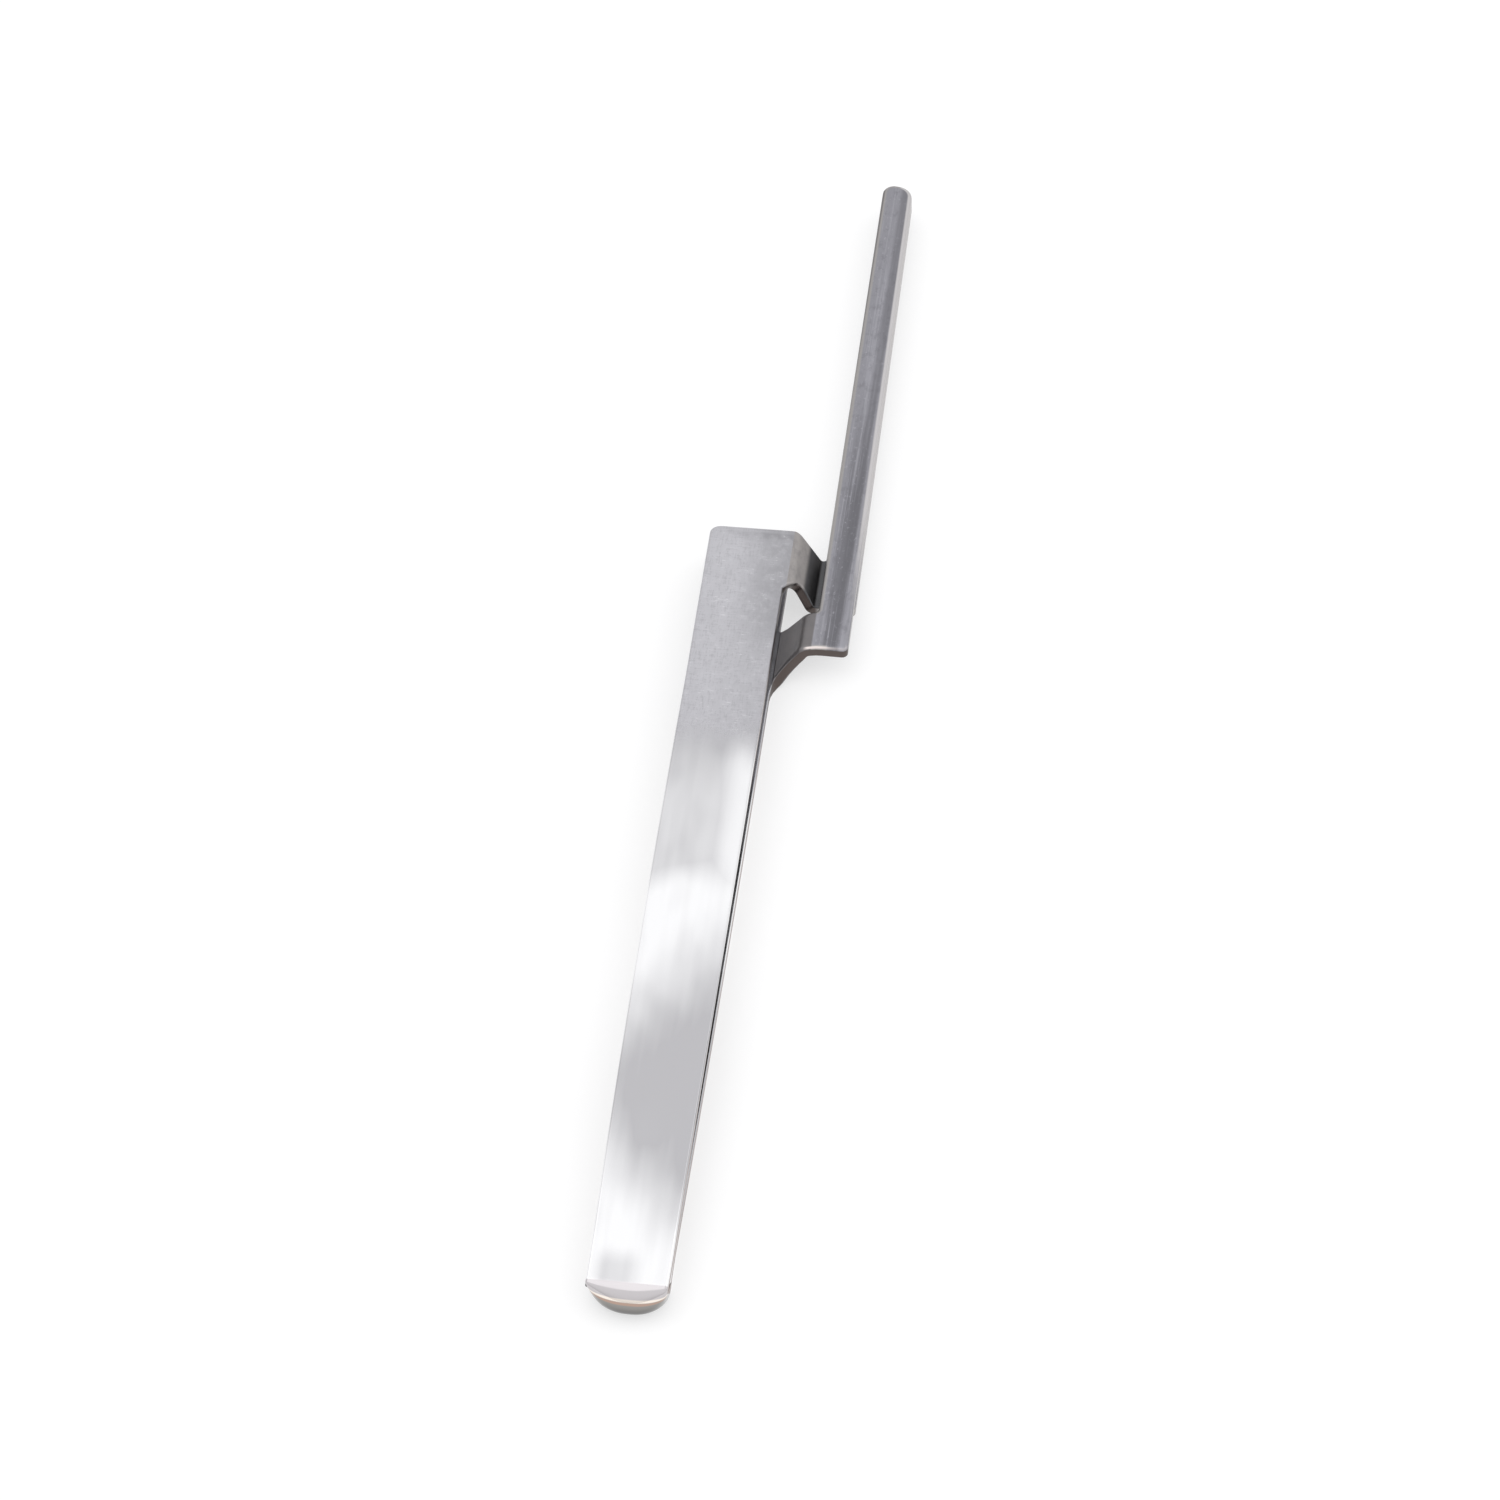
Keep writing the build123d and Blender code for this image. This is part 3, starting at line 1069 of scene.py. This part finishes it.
def bend_cuts(layout):
    """X places that divide the two bends of a tab, and two close beside the split."""
    inner = [RIGHT_EDGE + layout.bend_length * i / BEND_PARTS for i in range(BEND_PARTS + 1)]
    outer = [x + layout.bend_length + layout.slope_length for x in inner]
    return inner + outer + [layout.tab_split - SPLIT_HAIR, layout.tab_split + SPLIT_HAIR]


def even_cuts(start, end, spacing):
    """Places between two ends, about a spacing apart."""
    count = max(1, round(abs(end - start) / spacing))
    return evenly(start, end, count)[1:-1]


def make_arm(scene, is_upper, names):
    """The handle plate and the tab with its jaw, both parts of one arm."""
    layout = Layout(scene)
    tabs = scene.forceps_tabs
    reach = scene.forceps_strip.fold_reach
    if is_upper:
        flat_seam = layout.fold_line - layout.fold_length - reach
        level_line = layout.fold_line - layout.level_start
        outline = upper_arm_outline(scene, layout, layout.upper_level(flat_seam))
        lay = layout.behind_fold
        cuts_y = even_cuts(flat_seam, level_line, BOW_SPACING) + [level_line]
    else:
        seam = layout.fold_line + reach
        outline = lower_arm_outline(scene, seam)
        lay = float
        cuts_y = even_cuts(seam, FRONT_END - UNCUT_FRONT, FLAT_SPACING)
    bent_end = UPPER_JAW_LOW.x + layout.bend_reach
    outline = divided(outline, OUTLINE_SPACING, RIGHT_EDGE, bent_end)

    def flat(point):
        return layout.unrolled(point.x, tabs), lay(point.y)

    def easing_of(point, outward):
        return edge_easing(scene, layout, point, outward, is_upper)

    slots = ("polished_steel", "brushed_steel")
    pieces = []
    for name, slot, side in zip(names, slots, (-1, 1)):
        bm = build_blank(scene, layout, outline, flat, easing_of, bend_cuts(layout), cuts_y)
        keep_side(bm, layout.tab_split, side)
        piece = finish_mesh(bm, name)
        press(scene, layout, piece, steel(scene, slot))
        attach(piece, "upper_arm" if is_upper else "lower_arm")
        pieces.append(piece)
    return pieces


def make_fold(scene):
    """The rear fold with a short straight run of both arms, rounded at its corners."""
    layout = Layout(scene)
    strip = scene.forceps_strip
    reach = strip.fold_reach
    lower_seam = layout.fold_line + reach
    upper_seam = layout.fold_line - layout.fold_length - reach
    upper_level = layout.upper_level(upper_seam)

    def side_at(flat_y, side):
        share = smooth_share(lower_seam - flat_y, 0, lower_seam - upper_seam)
        draw = strip.lower_draw if side > 0 else 0.0
        low = handle_side(scene, lower_seam, side, draw)
        high = handle_side(scene, upper_level, side)
        return low + (high - low) * share

    places = evenly(lower_seam, upper_seam, FOLD_SECTIONS)
    left = [Vector((side_at(y, -1), y)) for y in places]
    right = [Vector((side_at(y, 1), y)) for y in places]
    edges = scene.forceps_edges
    easing = ((edges.inner, edges.inner), (edges.handle, edges.handle))

    bm = bmesh.new()
    band = bm.verts.layers.float.new("edge_band")
    rows = edge_rows(layout.middle, *easing, edges.steps, SUPPORT)
    sections = []
    for a, b in zip(left, right):
        section = []
        for side, place in ((1, a), (-1, b)):
            order = rows if side > 0 else rows[::-1]
            for inset, height, share in order:
                vert = bm.verts.new((place.x + side * inset, place.y, layout.middle + height))
                vert[band] = share
                section.append(vert)
        sections.append(section)
    for near, far in zip(sections, sections[1:]):
        for i, vert in enumerate(near):
            after = (i + 1) % len(near)
            bm.faces.new((vert, near[after], far[after], far[i]))
    bm.faces.new(sections[0])
    bm.faces.new(sections[-1][::-1])
    width = right[0].x - left[0].x
    for i in range(1, FOLD_COLUMNS):
        share = (1 - math.cos(math.pi * i / FOLD_COLUMNS)) / 2
        cut_across(bm, ALONG_X, left[0].x + width * share)
    piece = finish_mesh(bm, "rear_fold")
    press(scene, layout, piece, steel(scene, "polished_steel"))
    round_fold(scene, layout, piece)
    return piece


def round_fold(scene, layout, piece):
    """Draw the fold forward at its two corners, so that its end is round in plan."""
    strip = scene.forceps_strip
    reach = strip.fold_reach
    flat_place = piece.data.attributes["flat_place"]
    corners = (
        (LEFT_EDGE + strip.rear_taper, 1, strip.rear_left_corner),
        (RIGHT_EDGE - strip.rear_taper, -1, strip.rear_right_corner),
    )
    for vert, flat in zip(piece.data.vertices, flat_place.data):
        flat_x, flat_y, _ = flat.vector
        past = layout.fold_line - flat_y
        hold = 1 - max(0, -past) / reach
        hold *= 1 - smooth_share(past, 0.3 * layout.fold_length, layout.fold_length)
        for edge_x, side, radius in corners:
            inset = max(0, side * (flat_x - edge_x))
            if inset < radius:
                slide = radius - math.sqrt(radius**2 - (radius - inset) ** 2)
                vert.co.y += slide * hold
    shade_by_angle(piece.data)


# Operators and panel ------------------------------------------------------------------------


class FORCEPS_OT_lower_arm(bpy.types.Operator):
    """Make the flat lower arm, its crossing tab and the upper jaw that it carries."""

    bl_idname = "forceps.lower_arm"
    bl_label = "Make Lower Arm"
    bl_options = {"REGISTER", "UNDO"}

    def execute(self, context):
        names = ("lower_handle_plate", "lower_tab_and_jaw")
        plate, jaw = make_arm(context.scene, False, names)
        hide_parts("lower_handle")
        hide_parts("lower_crossing_tab", "upper_jaw")
        return {"FINISHED"}


class FORCEPS_OT_upper_arm(bpy.types.Operator):
    """Make the bowed upper arm, its crossing tab and the lower jaw that it carries."""

    bl_idname = "forceps.upper_arm"
    bl_label = "Make Upper Arm"
    bl_options = {"REGISTER", "UNDO"}

    def execute(self, context):
        names = ("upper_handle_plate", "upper_tab_and_jaw")
        plate, jaw = make_arm(context.scene, True, names)
        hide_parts("upper_handle")
        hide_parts("upper_crossing_tab", "lower_jaw")
        return {"FINISHED"}


class FORCEPS_OT_rear_fold(bpy.types.Operator):
    """Make the sprung rear fold that joins the two arms."""

    bl_idname = "forceps.rear_fold"
    bl_label = "Make Rear Fold"
    bl_options = {"REGISTER", "UNDO"}

    def execute(self, context):
        piece = make_fold(context.scene)
        layout = Layout(context.scene)
        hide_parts("rear_spring_fold")
        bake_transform(piece)
        return {"FINISHED"}


class FORCEPS_OT_stage(bpy.types.Operator):
    """Make the floor, the soft lights, the surroundings and the camera."""

    bl_idname = "forceps.stage"
    bl_label = "Make Stage"
    bl_options = {"REGISTER", "UNDO"}

    def execute(self, context):
        scene = context.scene
        make_floor(scene)
        make_surroundings(scene)
        make_lights(scene)
        make_camera(scene)
        scene.view_settings.view_transform = "Standard"
        return {"FINISHED"}


# The room's grey from its bottom to its top, and a touch of blue in it
ROOM_TONES = ((0.0, 0.7), (0.16, 0.85), (0.5, 1.0), (0.8, 1.05), (1.0, 1.05))
ROOM_BLUE = 1.01

# Soft boxes: name, width, power and place
SOFT_BOXES = (
    ("overhead_box", 1.2, 2.0, (-0.5, 0.15, 1.4)),
    ("right_box", 0.9, 1.0, (1.1, 0.5, 0.9)),
)

# The camera's direction, distance, aim and lens
AZIMUTH = math.radians(6.96)
ELEVATION = math.radians(47.77)
DISTANCE = 1.5
AIM = Vector((-0.225, -4.85, 2.7)) * MM
AIM_RIGHT = 0.098 * MM
AIM_UP = 1.441 * MM
LENS = 365.94
SENSOR = 36.0


def make_floor(scene, half=3.0, glow=0.6):
    """A pale plain floor that glows a little, so that shadows on it stay pale."""
    bm = bmesh.new()
    bmesh.ops.create_grid(bm, x_segments=1, y_segments=1, size=half)
    mesh = bpy.data.meshes.new("floor")
    bm.to_mesh(mesh)
    bm.free()
    floor = bpy.data.objects.new("floor", mesh)
    scene.collection.objects.link(floor)
    paint = Paint("floor_paper")
    grain = paint.noise((40, 40, 40), detail=3)
    base = tuple(scene.forceps_colours.floor)
    paint.finish(
        base_color=paint.mix(paint.ramp(grain, 0.3, 0.7), base, tone(base, 0.985)),
        roughness=0.9,
        emission_color=(1, 1, 1, 1),
        emission_strength=glow,
    )
    paint.shader.inputs["Specular IOR Level"].default_value = 0.1
    mesh.materials.append(paint.material)


def make_surroundings(scene):
    """A soft even room, a little darker low down."""
    world = bpy.data.worlds.new("studio")
    scene.world = world
    world.use_nodes = True
    tree = world.node_tree
    tree.nodes.clear()
    place = tree.nodes.new("ShaderNodeTexCoord")
    split = tree.nodes.new("ShaderNodeSeparateXYZ")
    tree.links.new(place.outputs["Generated"], split.inputs[0])
    ramp = tree.nodes.new("ShaderNodeValToRGB")
    tree.links.new(split.outputs["Z"], ramp.inputs["Fac"])
    elements = ramp.color_ramp.elements
    elements[0].position = ROOM_TONES[0][0]
    elements[1].position = ROOM_TONES[-1][0]
    for position, _ in ROOM_TONES[1:-1]:
        elements.new(position)
    for element, (_, grey) in zip(elements, ROOM_TONES):
        element.color = (grey, grey, grey * ROOM_BLUE, 1)
    back = tree.nodes.new("ShaderNodeBackground")
    tree.links.new(ramp.outputs["Color"], back.inputs["Color"])
    back.inputs["Strength"].default_value = 1.0
    out = tree.nodes.new("ShaderNodeOutputWorld")
    tree.links.new(back.outputs[0], out.inputs["Surface"])


def make_lights(scene):
    """Two large soft boxes."""
    for name, size, power, place in SOFT_BOXES:
        light = bpy.data.lights.new(name, "AREA")
        light.shape = "SQUARE"
        light.size = size
        light.energy = power
        lamp = bpy.data.objects.new(name, light)
        lamp.location = place
        lamp.rotation_euler = (-Vector(place)).to_track_quat("-Z", "Y").to_euler()
        scene.collection.objects.link(lamp)


def make_camera(scene):
    """The camera, above and a little to the right of the rear end."""
    level = Vector((-math.sin(AZIMUTH), math.cos(AZIMUTH), 0))
    ahead = level * math.cos(ELEVATION) - Vector((0, 0, math.sin(ELEVATION)))
    right = Vector((math.cos(AZIMUTH), math.sin(AZIMUTH), 0))
    aim = AIM + right * AIM_RIGHT + right.cross(ahead) * AIM_UP
    data = bpy.data.cameras.new("camera")
    data.lens = LENS
    data.sensor_width = SENSOR
    data.clip_start = 0.05
    data.clip_end = 20.0
    camera = bpy.data.objects.new("camera", data)
    camera.location = aim - ahead * DISTANCE
    camera.rotation_euler = ahead.to_track_quat("-Z", "Y").to_euler()
    scene.collection.objects.link(camera)
    scene.camera = camera


MAKERS = (
    FORCEPS_OT_lower_arm,
    FORCEPS_OT_upper_arm,
    FORCEPS_OT_rear_fold,
    FORCEPS_OT_stage,
)


class FORCEPS_PT_sidebar(bpy.types.Panel):
    """Sizes and makers of the forceps."""

    bl_idname = "FORCEPS_PT_sidebar"
    bl_label = "Forceps"
    bl_space_type = "VIEW_3D"
    bl_region_type = "UI"
    bl_category = "Forceps"

    def draw(self, context):
        layout = self.layout
        for maker in MAKERS:
            layout.operator(maker.bl_idname)
        for name, group in SETTINGS.items():
            box = layout.box()
            box.label(text=group.__name__)
            for prop in group.__annotations__:
                box.prop(getattr(context.scene, name), prop)


CLASSES = (*SETTINGS.values(), *MAKERS, FORCEPS_PT_sidebar)


def register():
    """Add the classes and the settings to Blender."""
    for item in CLASSES:
        bpy.utils.register_class(item)
    for name, group in SETTINGS.items():
        setattr(bpy.types.Scene, name, PointerProperty(type=group))


def unregister():
    """Take the settings and the classes out again."""
    for name in SETTINGS:
        delattr(bpy.types.Scene, name)
    for item in reversed(CLASSES):
        bpy.utils.unregister_class(item)


def main():
    """Make the forceps and the stage."""
    register()
    bpy.ops.forceps.lower_arm()
    bpy.ops.forceps.upper_arm()
    bpy.ops.forceps.rear_fold()
    bpy.ops.forceps.stage()


if __name__ == "__main__":
    main()
